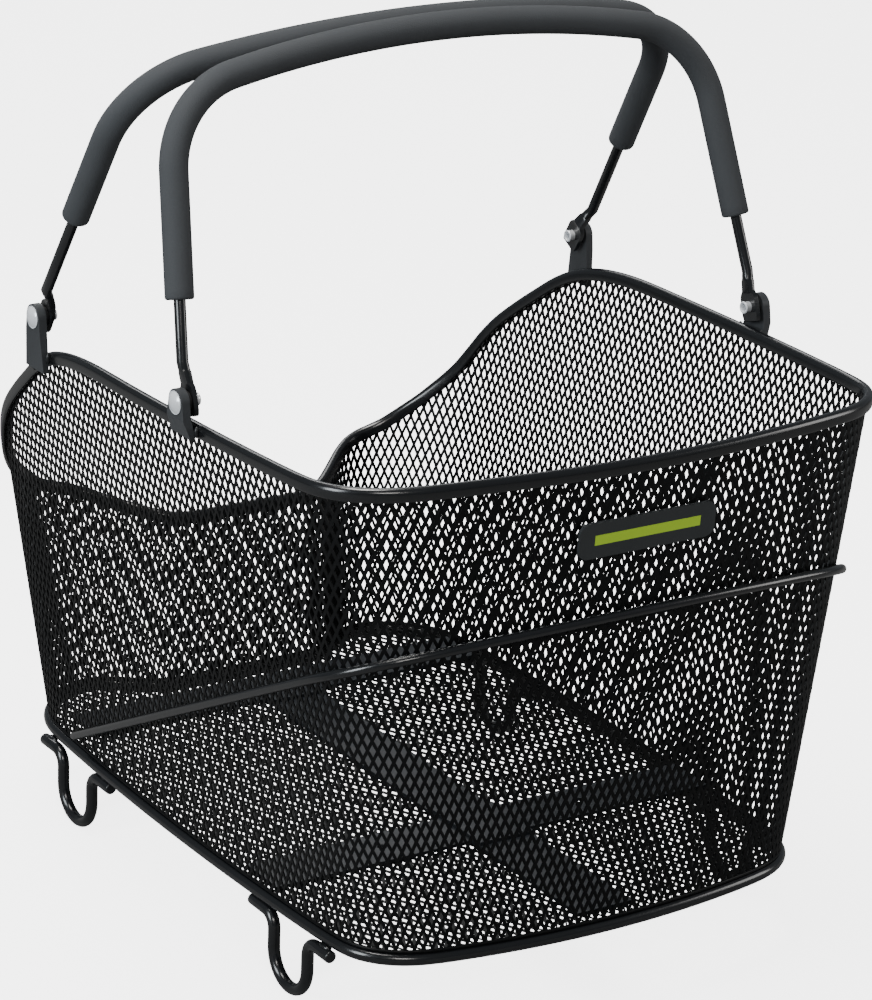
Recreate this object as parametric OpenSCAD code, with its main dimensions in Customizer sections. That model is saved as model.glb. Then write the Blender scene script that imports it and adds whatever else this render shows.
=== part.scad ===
// Wire-mesh basket for a bicycle luggage rack, with two swing handles.
// All sizes are in millimetres.
// X is the width, Y the length (negative Y is the end with the badge) and Z points up.
// Sizes are given from the middle of the floor, level with the underside of the floor frame.
// The finished part is then moved so that its origin is the middle of the four rack bolt
// holes, level with the underside of the straps.

/* [Floor outline] */
// Half width of the floor at its corners
floor_half_w = 133.5; // [100:0.5:180]
// Extra half width in the middle of each long side
floor_side_bow = 5; // [0:0.5:12]
// Distance from the origin to the front edge at its corners
floor_front = 191.5; // [120:1:260]
// How far the front edge bulges forward in the middle
floor_front_bow = 10; // [0:0.5:20]
// Distance from the origin to the rear edge
floor_rear = 192; // [120:1:260]
// Radius of the front corners at the floor
floor_front_r = 36; // [20:1:70]
// Radius of the rear corners at the floor
floor_rear_r = 50; // [20:1:80]
// Half width of the rear recess at its bottom, at the floor
floor_recess_half = 51.5; // [20:0.5:80]
// Depth of the rear recess at the floor
floor_recess_depth = 23; // [5:0.5:60]

/* [Upper outline] */
// Height at which the upper outline is measured
top_z = 229; // [150:1:300]
// Half width of the upper outline at its corners
top_half_w = 160.4; // [120:0.1:200]
// Extra half width in the middle of each long side
top_side_bow = 5.3; // [0:0.1:12]
// Distance from the origin to the front edge at its corners
top_front = 202.8; // [150:0.1:260]
// How far the front edge bulges forward in the middle
top_front_bow = 13; // [0:0.5:20]
// Distance from the origin to the rear edge
top_rear = 225.9; // [150:0.1:280]
// Radius of the front corners
top_front_r = 43; // [20:1:90]
// Radius of the rear corners
top_rear_r = 66; // [20:1:90]
// Half width of the rear recess at its bottom
top_recess_half = 38; // [15:0.5:80]
// Depth of the rear recess
top_recess_depth = 55.5; // [10:0.5:90]

/* [Rim] */
// Height of the rim centre along the front
rim_front_z = 256.5; // [200:0.5:300]
// Height of the rim centre beside the front brackets
rim_side_z = 250.6; // [200:0.5:300]
// Height of the rim centre at the rear brackets
rim_drop_z = 239; // [180:0.5:300]
// Height of the rim centre where the rear wall begins
rim_rear_z = 116.6; // [60:0.5:200]
// Height of the rim centre in the rear recess
rim_recess_z = 104; // [60:0.5:200]
// Width of the folded rim band
rim_w = 5.8; // [3:0.1:10]
// Height of the folded rim band
rim_h = 6.8; // [4:0.1:12]
// Thickness of the mesh sheet
sheet_t = 1.5; // [0.8:0.1:3]

/* [Wires] */
// Diameter of the floor frame wire
frame_wire_d = 6.8; // [4:0.1:10]
// Diameter of the guard wire round the front
guard_wire_d = 5; // [3:0.1:8]
// Height of the guard wire where it passes the middle of the basket
guard_mid_z = 71; // [20:1:120]
// Distance from the origin to the rear ends of the guard wire
guard_end_y = 110; // [0:1:150]
// Rise of the guard wire for each millimetre forward
guard_slope = 0.51; // [0.2:0.01:1]
// Diameter of the foot loop wire
foot_wire_d = 6.5; // [4:0.1:10]
// Distance between the two legs of a foot loop
foot_leg_gap = 33; // [20:0.5:60]
// Depth of the foot loops below the floor frame
foot_depth = 40; // [20:0.5:70]
// Overall length of one foot loop with its tails
foot_len = 76; // [50:1:120]
// Position of the front foot loops along Y
foot_front_y = -117; // [-160:0.5:-60]
// Position of the rear foot loops along Y
foot_rear_y = 112; // [60:0.5:150]

/* [Straps] */
// Width of the cross straps
strap_w = 31; // [20:0.5:60]
// Width of the centre strap
centre_strap_w = 33; // [20:0.5:70]
// Thickness of the straps
strap_t = 2; // [1:0.1:4]
// Position of the front strap along Y
strap_front_y = -82; // [-140:0.5:-20]
// Position of the rear strap along Y
strap_rear_y = 130; // [60:0.5:145]
// Diameter of the four bolt holes for a rack adapter
bolt_hole_d = 5.5; // [3:0.1:9]
// Distance between the bolt holes across the basket
bolt_gap_x = 124; // [60:1:180]

/* [Brackets] */
// Position of the front handle pivots along Y
pivot_front_y = -62.6; // [-110:0.1:-30]
// Position of the rear handle pivots along Y
pivot_rear_y = 95.8; // [40:0.1:120]
// Height of the front pivots
pivot_front_z = 265.4; // [240:0.1:300]
// Height of the rear pivots
pivot_rear_z = 262.4; // [240:0.1:300]
// Distance from the middle of the basket to the inner face of a front bracket
bracket_front_in = 173; // [150:0.1:190]
// Distance from the middle of the basket to the inner face of a rear bracket
bracket_rear_in = 168.6; // [150:0.1:190]
// How far the foot of a front bracket stands in from its head
bracket_front_lean = 3.2; // [0:0.1:6]
// How far the foot of a rear bracket stands in from its head
bracket_rear_lean = 1.2; // [0:0.1:6]
// Thickness of a bracket
bracket_t = 4.4; // [2:0.1:8]
// Width of a bracket at the pivot
bracket_top_w = 13.7; // [10:0.1:20]
// Width of a bracket at its foot
bracket_foot_w = 19.6; // [12:0.1:30]
// Radius of the pivot rivet
rivet_r = 3; // [2:0.05:4]
// Diameter of the rivet head
rivet_head_d = 12; // [8:0.1:16]
// Height of the domed rivet head
rivet_head_h = 2.4; // [1:0.1:4]
// Radial running clearance of a handle tab on its rivet
pivot_gap = 0.06; // [0.02:0.01:0.1]
// Thickness of the spacer between bracket and handle
spacer_t = 2.2; // [1:0.1:5]

/* [Handles] */
// Diameter of the handle rod
rod_d = 6; // [4:0.1:8]
// Outer diameter of the foam grip
grip_d = 14.6; // [10:0.1:20]
// Height of the top bar of the front handle above its pivots, along the handle
front_len = 164.9; // [120:0.1:220]
// Height of the top bar of the rear handle above its pivots, along the handle
rear_len = 184.8; // [120:0.1:220]
// Half distance between the legs of the front handle, at pivot height
front_leg_x = 172.4; // [150:0.1:190]
// Half distance between the legs of the rear handle, at pivot height
rear_leg_x = 170.9; // [150:0.1:190]
// Inward tilt of the front handle legs in degrees
front_tilt = 6; // [0:0.1:8]
// Inward tilt of the rear handle legs in degrees
rear_tilt = 2.6; // [0:0.1:8]
// Offset of the front handle legs from the pivot holes, towards the lean
front_offset = 0; // [-8:0.1:8]
// Offset of the rear handle legs from the pivot holes, towards the lean
rear_offset = 0; // [-8:0.1:8]
// Radius of the upper bends
bend_r = 49.5; // [30:0.5:80]
// Radius of the gentle arch of the top bar
arch_r = 640; // [300:5:2000]
// Distance along a front leg from the pivot to the end of the grip
front_grip_start = 49; // [40:0.5:110]
// Distance along a rear leg from the pivot to the end of the grip
rear_grip_start = 72; // [40:0.5:110]
// Lean of the front handle at rest, towards the rear, in degrees
front_lean = 17.9; // [0:0.1:40]
// Lean of the rear handle at rest, towards the front, in degrees
rear_lean = 30.1; // [0:0.1:40]
// Width of the flattened handle tab
tab_w = 12.6; // [10:0.1:18]
// Thickness of the flattened handle tab
tab_t = 2.5; // [1.5:0.1:4]

/* [Badge] */
// Width of the badge plate
badge_w = 80; // [50:0.5:120]
// Height of the badge plate
badge_h = 18.5; // [10:0.5:30]
// Corner radius of the badge plate
badge_r = 5.5; // [1:0.1:8]
// Thickness of the badge plate
badge_t = 1.8; // [1:0.1:4]
// Sideways position of the middle of the badge
badge_x = -3.5; // [-60:0.5:60]
// Height of the middle of the badge
badge_z = 221.5; // [120:0.5:235]

/* [Hidden] */
// Small gap left between pieces that touch.
touch = 0.03;
// How far the rivet tail stands out past the handle tab, and how deep it is bored.
tail_len = 3.6;
tail_bore = 7;
frame_r = frame_wire_d / 2;
guard_r = guard_wire_d / 2;
foot_r = foot_wire_d / 2;
rod_r = rod_d / 2;
grip_r = grip_d / 2;
floor_z = frame_wire_d + touch;
strap_z = floor_z + sheet_t + touch;
bolt_gap_y = strap_rear_y - strap_front_y;

// Number of stations in each section of one half of the outline.
section_n = [9, 9, 18, 12, 5, 5];
// The rim slot is wider than the sheet by this much on each side.
slot_gap = 0.24;
slot_half = sheet_t / 2 + slot_gap;
// How deep the sheet reaches into the rim slot.
slot_depth = 3.4;
// Number of times the outlines are evened out.
even_out = 2;

// ---------- small helpers ----------

function unit(v) = v / norm(v);

function lerp(a, b, t) = a + (b - a) * t;

function bezier(a, b, c, d, t) =
  a * pow(1 - t, 3) + 3 * b * t * pow(1 - t, 2) + 3 * c * t * t * (1 - t) + d * pow(t, 3);

// ---------- outlines ----------

// One point of the right half of an outline, for section number s and share t along it.
// o = [half width, side bow, front, front bow, rear, front radius, rear radius,
//      recess half width, recess depth]
function outline_point(o, s, t) =
  let (
    hw = o[0], sb = o[1], yf = -o[2], fb = o[3], yr = o[4],
    rf = o[5], rr = o[6], ri = o[7], rd = o[8],
    front_half = hw - rf,
    side_half = (yr - rr - yf - rf) / 2,
    p1 = [front_half, yf],
    p2 = [hw, yf + rf],
    p3 = [hw, yr - rr],
    p4 = [hw - rr, yr],
    p5 = [ri, yr - rd],
    front_dir = unit([1, 2 * fb / front_half]),
    side_in = unit([2 * sb / side_half, 1]),
    side_out = unit([-2 * sb / side_half, 1]),
    k = 0.5523
  )
  s == 0 ? [front_half * t, yf - fb * (1 - t * t)]
  : s == 1 ? bezier(p1, p1 + k * rf * front_dir, p2 - k * rf * side_in, p2, t)
  : s == 2 ? [hw + sb * (1 - pow(2 * t - 1, 2)), lerp(p2[1], p3[1], t)]
  : s == 3 ? bezier(p3, p3 + k * rr * side_out, p4 + k * rr * [1, 0], p4, t)
  : s == 4 ? lerp(p4, p5, t)
  : lerp(p5, [0, yr - rd], t);

// Stations of one half: [section, share].
stations = concat(
  [for (s = [0:5]) for (i = [0:section_n[s] - 1]) [s, i / section_n[s]]],
  [[5, 1]]
);
last = len(stations) - 1;
loop_n = 2 * last;

function half_outline(o, z) =
  [for (q = stations) let (p = outline_point(o, q[0], q[1])) [p[0], p[1], z]];

function mirrored(p) = [-p[0], p[1], p[2]];

// Averages every point with its neighbours, once for each pass.
function evened(p, passes) =
  passes == 0 ? p
  : evened([
      for (i = [0:last])
        let (
          before = i == 0 ? mirrored(p[1]) : p[i - 1],
          after = i == last ? mirrored(p[last - 1]) : p[i + 1]
        )
        (before + 2 * p[i] + after) / 4
    ], passes - 1);

floor_half = evened(half_outline([
  floor_half_w, floor_side_bow, floor_front, floor_front_bow, floor_rear,
  floor_front_r, floor_rear_r, floor_recess_half, floor_recess_depth
], frame_r), even_out);

top_half = evened(half_outline([
  top_half_w, top_side_bow, top_front, top_front_bow, top_rear,
  top_front_r, top_rear_r, top_recess_half, top_recess_depth
], top_z), even_out);

// Rim height against section number plus share: level, then falling round the rear corner.
rim_fall = rim_drop_z - rim_rear_z;
rim_start = rim_side_z - rim_drop_z;
rim_curve = [
  [0, rim_front_z], [0.7, rim_front_z], [1.5, rim_front_z - 1.7],
  [2, lerp(rim_front_z, rim_side_z, 0.5)], [2.5, rim_side_z], [2.64, rim_side_z - rim_start * 0.05],
  [2.71, rim_side_z - rim_start * 0.3], [2.81, rim_drop_z], [2.89, rim_drop_z - rim_fall * 0.16],
  [3, rim_drop_z - rim_fall * 0.35], [3.25, rim_drop_z - rim_fall * 0.63],
  [3.5, rim_drop_z - rim_fall * 0.81], [3.75, rim_drop_z - rim_fall * 0.94],
  [4, rim_rear_z], [4.5, lerp(rim_rear_z, rim_recess_z, 0.6)],
  [5, rim_recess_z], [6, rim_recess_z]
];

rim_z_half = evened([
  for (q = stations) [0, 0, lookup(q[0] + q[1], rim_curve)]
], 1);

// A point of the wall on station i at height z.
function wall_point(i, z) =
  lerp(floor_half[i], top_half[i], (z - frame_r) / (top_z - frame_r));

rim_half = [for (i = [0:last]) wall_point(i, rim_z_half[i][2])];

// Turns a half list of points into the closed loop, counter-clockwise from above.
function full(h) =
  concat(h, [for (i = [last - 1:-1:1]) mirrored(h[i])]);

floor_loop = full(floor_half);
top_loop = full(top_half);
rim_loop = full(rim_half);

function at(loop, i) = loop[(i + loop_n) % loop_n];

// Direction of travel, of the wall upwards, out of the wall, and up across the rim.
along = [for (i = [0:loop_n - 1]) unit(at(rim_loop, i + 1) - at(rim_loop, i - 1))];
upwall = [for (i = [0:loop_n - 1]) unit(top_loop[i] - floor_loop[i])];
outward = [for (i = [0:loop_n - 1]) unit(cross(along[i], upwall[i]))];
across = [for (i = [0:loop_n - 1]) unit(cross(outward[i], along[i]))];

floor_along = [for (i = [0:loop_n - 1]) unit(at(floor_loop, i + 1) - at(floor_loop, i - 1))];
floor_out = [for (i = [0:loop_n - 1]) cross(floor_along[i], [0, 0, 1])];

// ---------- skins ----------

// Side faces of a grid of points with rows of length m.
// Rows run from 0 to rows - 1 and the last row joins the first when closed.
function side_faces(rows, m, closed) = [
  for (i = [0:rows - (closed ? 1 : 2)])
    for (j = [0:m - 1])
      let (
        a = i * m + j,
        b = i * m + (j + 1) % m,
        c = ((i + 1) % rows) * m + j,
        d = ((i + 1) % rows) * m + (j + 1) % m
      )
      each [[a, b, c], [b, d, c]]
];

// A solid from rings of points, closed on itself.
module ring_skin(rings) {
  m = len(rings[0]);
  polyhedron(
    points = [for (r = rings) each r],
    faces = side_faces(len(rings), m, true),
    convexity = 10
  );
}

// A solid from rings of points, with flat end caps.
module open_skin(rings) {
  m = len(rings[0]);
  n = len(rings);
  polyhedron(
    points = [for (r = rings) each r],
    faces = concat(
      side_faces(n, m, false),
      [[for (j = [m - 1:-1:0]) j]],
      [[for (j = [0:m - 1]) (n - 1) * m + j]]
    ),
    convexity = 10
  );
}

// Ring of a round wire with m sides about point p, with axes u and v.
function wire_ring(p, u, v, r, m) =
  [for (j = [0:m - 1]) p + r * (cos(360 * j / m) * u + sin(360 * j / m) * v)];

// ---------- basket frame ----------

// Section of the folded rim band: rounded top, with a slot for the sheet from below.
rim_section = [
  [slot_half, -rim_h / 2],
  [rim_w / 2 - 0.4, -rim_h / 2],
  [rim_w / 2, -rim_h / 2 + 0.6],
  [rim_w / 2, rim_h * 0.14],
  [rim_w * 0.36, rim_h * 0.38],
  [rim_w * 0.12, rim_h / 2],
  [-rim_w * 0.12, rim_h / 2],
  [-rim_w * 0.36, rim_h * 0.38],
  [-rim_w / 2, rim_h * 0.14],
  [-rim_w / 2, -rim_h / 2 + 0.6],
  [-rim_w / 2 + 0.4, -rim_h / 2],
  [-slot_half, -rim_h / 2],
  [-slot_half, -rim_h / 2 + slot_depth + 0.1],
  [slot_half, -rim_h / 2 + slot_depth + 0.1]
];

module top_rim() {
  color("DimGray")
    ring_skin([
      for (i = [0:loop_n - 1])
        [for (q = rim_section) rim_loop[i] + q[0] * outward[i] + q[1] * across[i]]
    ]);
}

module floor_frame() {
  color("SlateGray")
    ring_skin([
      for (i = [0:loop_n - 1])
        wire_ring(floor_loop[i], floor_out[i], [0, 0, 1], frame_r, 12)
    ]);
}

// Mesh sheet of the wall between two stations of the loop.
wall_rows = 3;
function wall_ring(i) =
  let (
    k = (i + loop_n) % loop_n,
    low = floor_loop[k] + (floor_z - frame_r) / upwall[k][2] * upwall[k],
    high = rim_loop[k] - (rim_h / 2 - slot_depth) * across[k],
    half = sheet_t / 2 * outward[k]
  )
  concat(
    [for (r = [0:wall_rows]) lerp(low, high, r / wall_rows) + half],
    [for (r = [wall_rows:-1:0]) lerp(low, high, r / wall_rows) - half]
  );

// Pulls the two end rings of a sheet towards each other by a hair.
function trimmed(rings) =
  let (n = len(rings), share = 0.01)
  [for (i = [0:n - 1])
    i == 0 ? [for (j = [0:len(rings[0]) - 1]) lerp(rings[0][j], rings[1][j], share)]
    : i == n - 1 ? [for (j = [0:len(rings[0]) - 1]) lerp(rings[i][j], rings[i - 1][j], share)]
    : rings[i]];

module wall_sheet(from, to) {
  open_skin(trimmed([for (i = [from:to]) wall_ring(i)]));
}

// The walls are made of four panels that meet at the ends of the straight sides.
front_end = section_n[0] + section_n[1];
side_end = front_end + section_n[2];

module mesh_front() {
  color("DarkSlateGray") wall_sheet(-front_end, front_end);
}

module mesh_right() {
  color("DarkSlateGray") wall_sheet(front_end, side_end);
}

module mesh_left() {
  color("DarkSlateGray") wall_sheet(loop_n - side_end, loop_n - front_end);
}

module mesh_rear() {
  color("DarkSlateGray") wall_sheet(side_end, loop_n - side_end);
}

module bolt_holes(z, h, r) {
  for (x = [-bolt_gap_x / 2, bolt_gap_x / 2])
    for (y = [strap_front_y, strap_rear_y])
      translate([x, y, z]) cylinder(h = h, r = r, $fn = 48);
}

module mesh_floor() {
  inset = sheet_t / 2 + 0.25;
  color("DarkSlateGray")
    difference() {
      translate([0, 0, floor_z])
        linear_extrude(sheet_t)
          polygon([
            for (i = [0:loop_n - 1])
              let (p = floor_loop[i] - inset * floor_out[i])
              [p[0], p[1]]
          ]);
      bolt_holes(floor_z - 1, sheet_t + 2, bolt_hole_d / 2 + 1);
    }
}

// ---------- straps ----------

strap_cut = 0.1;

// A cross strap whose ends stop short of the side walls.
module cross_strap(y, len_x, w) {
  difference() {
    translate([-len_x / 2, y - w / 2, strap_z]) cube([len_x, w, strap_t]);
    bolt_holes(strap_z - 1, strap_t + 2, bolt_hole_d / 2);
  }
}

module strap_front() {
  color("Gray") cross_strap(strap_front_y, 2 * (floor_half_w + 1), strap_w);
}

module strap_rear() {
  color("Gray") cross_strap(strap_rear_y, 2 * (floor_half_w - 10), strap_w);
}

module strap_centre() {
  z = strap_z;
  y0 = -floor_front - floor_front_bow + 6;
  y1 = strap_front_y - strap_w / 2 - strap_cut;
  y2 = strap_front_y + strap_w / 2 + strap_cut;
  y3 = strap_rear_y - strap_w / 2 - strap_cut;
  x = centre_strap_w / 2;
  lift = strap_t + touch;
  lap = 8;
  color("Gray")
    difference() {
      union() {
        translate([-x, y0, z]) cube([2 * x, y1 - y0, strap_t]);
        translate([-x, y1 - lap, z + strap_t - 0.01])
          cube([2 * x, y2 - y1 + 2 * lap, strap_t + touch + 0.01]);
        translate([-x, y2, z]) cube([2 * x, y3 - y2, strap_t]);
        translate([-x, y3 - lap, z + strap_t - 0.01])
          cube([2 * x, lap + 12, strap_t + touch + 0.01]);
      }
      translate([-x - 1, y1, z - 1]) cube([2 * x + 2, y2 - y1, 1 + lift]);
      translate([-x - 1, y3, z - 1]) cube([2 * x + 2, 40, 1 + lift]);
    }
}

// ---------- guard wire ----------

// Middle line of the guard wire beside station k: a flat, tilted loop just outside the wall.
function guard_point(k) =
  let (
    rise = top_z - frame_r,
    lean = (top_loop[k][1] - floor_loop[k][1]) / rise,
    y0 = floor_loop[k][1] - frame_r * lean,
    z = (guard_mid_z - guard_slope * y0) / (1 + guard_slope * lean)
  )
  lerp(floor_loop[k], top_loop[k], (z - frame_r) / rise)
    + (sheet_t / 2 + guard_r + 0.25) * outward[k];

// Stations from the right end round the front to the left end, and the end point itself.
guard_last = max([for (i = [0:side_end]) if (guard_point(i)[1] < guard_end_y - 3) i]);
guard_tip =
  let (a = guard_point(guard_last), b = guard_point(guard_last + 1))
  lerp(a, b, (guard_end_y - a[1]) / (b[1] - a[1]));
guard_points = concat(
  [mirrored(guard_tip)],
  [for (i = [-guard_last:guard_last]) guard_point((i + loop_n) % loop_n)],
  [guard_tip]
);

module guard_wire() {
  n = len(guard_points);
  dirs = [
    for (i = [0:n - 1])
      unit(guard_points[min(i + 1, n - 1)] - guard_points[max(i - 1, 0)])
  ];
  color("SlateGray")
    open_skin([
      for (i = [0:n - 1])
        let (
          side = unit(cross(dirs[i], [0, 0, 1])),
          up = cross(side, dirs[i])
        )
        wire_ring(guard_points[i], side, up, guard_r, 10)
    ]);
}

// ---------- foot loops ----------

module rod_bend(r, wire, from, sweep) {
  rotate([0, 0, from])
    rotate_extrude(angle = sweep, $fn = 64)
      translate([r, 0]) circle(r = wire, $fn = 48);
}

// One foot loop in the YZ plane, with its tails on top and the loop below.
module foot_loop() {
  elbow = 8;
  tail_z = -foot_r - touch;
  loop_r = foot_leg_gap / 2;
  low_z = -foot_depth + foot_r + loop_r;
  leg_h = tail_z - elbow - low_z;
  tail = foot_len / 2 - loop_r - elbow;
  translate([0, 0, low_z])
    rotate([90, 0, 90]) rod_bend(loop_r, foot_r, 180, 180);
  for (s = [-1, 1]) {
    translate([0, s * loop_r, low_z]) cylinder(h = leg_h, r = foot_r, $fn = 48);
    translate([0, s * (loop_r + elbow), low_z + leg_h])
      rotate([90, 0, 90]) rod_bend(elbow, foot_r, s > 0 ? 90 : 0, 90);
    translate([0, s * (loop_r + elbow), tail_z])
      rotate([-s * 90, 0, 0]) cylinder(h = tail, r = foot_r, $fn = 48);
  }
}

foot_x = floor_half_w + floor_side_bow * 0.72;

module foot_at(side, y) {
  color("SlateGray") translate([side * foot_x, y, 0]) foot_loop();
}

module foot_front_left() { foot_at(-1, foot_front_y); }
module foot_front_right() { foot_at(1, foot_front_y); }
module foot_rear_left() { foot_at(-1, foot_rear_y); }
module foot_rear_right() { foot_at(1, foot_rear_y); }

// ---------- brackets, spacers and rivets ----------

// Rim position beside a given Y, found on the right half of the rim.
function rim_near(y) =
  let (hits = [
    for (i = [0:last - 1])
      if (rim_half[i][0] > 120 && rim_half[i][1] <= y && rim_half[i + 1][1] > y)
        lerp(rim_half[i], rim_half[i + 1], (y - rim_half[i][1]) / (rim_half[i + 1][1] - rim_half[i][1]))
  ])
  hits[0];

// Slice of a bracket: a plate of width w at height z below the pivot,
// reaching from x0 to x1 measured from the inner face of the head.
module bracket_slice(w, z, x0, x1) {
  translate([x0, -w / 2, -z]) cube([x1 - x0, w, 0.4]);
}

// Right-hand pivots as [inner face of the bracket, Y, Z].
front_pivot = [bracket_front_in, pivot_front_y, pivot_front_z];
rear_pivot = [bracket_rear_in, pivot_rear_y, pivot_rear_z];

// Right-hand bracket, standing at the given pivot, with its foot set in by lean.
module bracket(at, lean) {
  rim = rim_near(at[1]);
  drop = at[2] - (rim[2] - rim_h / 2);
  foot_in = max(-lean, rim[0] + rim_w / 2 + 1 - at[0]);
  waist = bracket_top_w / 2 + 1;
  waist_w = lerp(bracket_top_w, bracket_foot_w, waist / drop);
  difference() {
    translate(at) {
      hull() {
        rotate([0, 90, 0]) cylinder(h = bracket_t, d = bracket_top_w, $fn = 64);
        bracket_slice(waist_w, waist, 0, bracket_t);
      }
      hull() {
        bracket_slice(waist_w, waist, 0, bracket_t);
        bracket_slice(bracket_foot_w, drop, foot_in, bracket_t - lean);
      }
    }
    translate(at - [1, 0, 0])
      rotate([0, 90, 0]) cylinder(h = bracket_t + 2, r = rivet_r + touch, $fn = 48);
  }
}

// Right-hand rivet: domed head outside, hollow tail inside with a rolled end.
module rivet(at) {
  head_r = rivet_head_d / 2;
  dome = (head_r * head_r + rivet_head_h * rivet_head_h) / (2 * rivet_head_h);
  reach = spacer_t + tab_t + 4 * touch + tail_len;
  shank = reach + bracket_t + touch;
  translate(at - [reach, 0, 0])
    rotate([0, 90, 0])
      rotate_extrude($fn = 64)
        difference() {
          union() {
            square([rivet_r, shank + 0.2]);
            square([rivet_r + 0.35, 0.9]);
            intersection() {
              translate([0, shank + rivet_head_h - dome]) circle(r = dome, $fn = 128);
              translate([0, shank]) square([head_r + 2, rivet_head_h + 2]);
            }
          }
          translate([-1, -1]) square([rivet_r - 0.9 + 1, 1 + tail_bore]);
        }
}

// Right-hand spacer between bracket and handle tab.
module spacer(at) {
  translate(at - [spacer_t + touch, 0, 0])
    rotate([0, 90, 0])
      difference() {
        cylinder(h = spacer_t, r = 5, $fn = 64);
        translate([0, 0, -1]) cylinder(h = spacer_t + 2, r = rivet_r + touch, $fn = 48);
      }
}

module on_left() { mirror([1, 0, 0]) children(); }

module bracket_front_right() { color("DimGray") bracket(front_pivot, bracket_front_lean); }
module bracket_rear_right() { color("DimGray") bracket(rear_pivot, bracket_rear_lean); }
module bracket_front_left() { color("DimGray") on_left() bracket(front_pivot, bracket_front_lean); }
module bracket_rear_left() { color("DimGray") on_left() bracket(rear_pivot, bracket_rear_lean); }
module rivet_front_right() { color("Silver") rivet(front_pivot); }
module rivet_rear_right() { color("Silver") rivet(rear_pivot); }
module rivet_front_left() { color("Silver") on_left() rivet(front_pivot); }
module rivet_rear_left() { color("Silver") on_left() rivet(rear_pivot); }
module spacer_front_right() { color("Black") spacer(front_pivot); }
module spacer_rear_right() { color("Black") spacer(rear_pivot); }
module spacer_front_left() { color("Black") on_left() spacer(front_pivot); }
module spacer_rear_left() { color("Black") on_left() spacer(rear_pivot); }

// ---------- handles ----------

// A handle is drawn upright in the XZ plane with its pivots at height zero.
// h = [tab distance from the middle, leg distance from the middle, leg tilt, height, offset]
tab_in = spacer_t + 2 * touch + tab_t / 2;
front_h = [bracket_front_in - tab_in, front_leg_x, front_tilt, front_len, front_offset];
rear_h = [bracket_rear_in - tab_in, rear_leg_x, rear_tilt, rear_len, rear_offset];
tab_top = 13;
tab_low = 8;
// Share of the leg offset that the middle of the tab takes.
tab_shift = 0.35;
// Number of steps in a bend and in half of the arch.
bend_n = 10;
arch_n = 8;
no_lean = [0, 1, 0];

// Points of the right half of the handle path, from a leg to the top of the arch,
// each with its direction of travel. from is the height at which the leg begins.
function handle_half(h, from) =
  let (
    dir = [-sin(h[2]), cos(h[2])],
    arch_z = h[3] - arch_r,
    start = [h[1] - bend_r * cos(h[2]), -bend_r * sin(h[2]) - arch_z],
    dot = start * dir,
    // Length of the leg from the pivot height to the start of its bend.
    leg = -dot + sqrt(pow(dot, 2) - start * start + pow(arch_r - bend_r, 2)),
    mid = start + leg * dir,
    bend_end = atan2(mid[1], mid[0])
  )
  concat(
    [for (d = [from, lerp(from, leg, 0.5)])
      [[h[1] + d * dir[0], 0, d * dir[1]], [dir[0], 0, dir[1]]]],
    [for (i = [0:bend_n - 1])
      let (a = lerp(h[2], bend_end, i / bend_n))
      [[mid[0] + bend_r * cos(a), 0, mid[1] + arch_z + bend_r * sin(a)], [-sin(a), 0, cos(a)]]],
    [for (i = [0:arch_n - 1])
      let (a = lerp(bend_end, 90, i / arch_n))
      [[arch_r * cos(a), 0, arch_z + arch_r * sin(a)], [-sin(a), 0, cos(a)]]]
  );

// The whole path: right half, top, left half.
function both_halves(right, top) =
  let (n = len(right))
  concat(
    right,
    [[[0, 0, top], [-1, 0, 0]]],
    [for (i = [n - 1:-1:0]) [mirrored(right[i][0]), [right[i][1][0], 0, -right[i][1][2]]]]
  );

function path_ring(q, r, m) = wire_ring(q[0], no_lean, cross(no_lean, q[1]), r, m);

// A flat ring of a tab: the round ring pushed out to a rectangle of width w.
function tab_ring(side, h, z, w) = [
  for (j = [0:15])
    let (c = cos(22.5 * j), s = sin(22.5 * j), m = max(abs(c), abs(s)))
    [side * (h[0] + side * s / m * tab_t / 2), (tab_shift - 1) * h[4] + c / m * w / 2, z]
];

// Rings of the flattened end of a leg, from its foot upwards.
function tab_rings(side, h) = [
  tab_ring(side, h, -tab_low, tab_w - 3),
  tab_ring(side, h, -tab_low + 1.5, tab_w),
  tab_ring(side, h, tab_top - 5, tab_w),
  tab_ring(side, h, tab_top - 2, tab_w - 4)
];

function rod_rings(h) =
  let (
    path = both_halves(handle_half(h, tab_top + 3), h[3]),
    left = tab_rings(-1, h)
  )
  concat(
    tab_rings(1, h),
    [for (q = path) path_ring(q, rod_r, 16)],
    [for (i = [3:-1:0]) left[i]]
  );

module handle_body(h) {
  difference() {
    translate([0, h[4], 0]) open_skin(rod_rings(h));
    for (side = [-1, 1])
      translate([side * h[0] - 5, 0, 0])
        rotate([0, 90, 0]) cylinder(h = 10, r = rivet_r + pivot_gap, $fn = 48);
  }
}

// The foam tube: its outer skin, then its inner skin on the way back.
module grip_body(h, from) {
  path = both_halves(handle_half(h, from), h[3]);
  n = len(path);
  translate([0, h[4], 0])
    ring_skin(concat(
      [for (i = [0:n - 1]) path_ring(path[i], grip_r, 20)],
      [for (i = [n - 1:-1:0]) path_ring(path[i], rod_r + 2 * touch, 20)]
    ));
}

// Places a handle piece on the front or the rear pivots at its rest lean.
module on_front() {
  translate([0, pivot_front_y, pivot_front_z]) rotate([-front_lean, 0, 0]) children();
}

module on_rear() {
  translate([0, pivot_rear_y, pivot_rear_z]) rotate([rear_lean, 0, 0]) mirror([0, 1, 0]) children();
}

module handle_front() { color("DarkSlateGray") on_front() handle_body(front_h); }
module handle_rear() { color("DarkSlateGray") on_rear() handle_body(rear_h); }
module grip_front() { color("Black") on_front() grip_body(front_h, front_grip_start); }
module grip_rear() { color("Black") on_rear() grip_body(rear_h, rear_grip_start); }

// ---------- badge ----------

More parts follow.
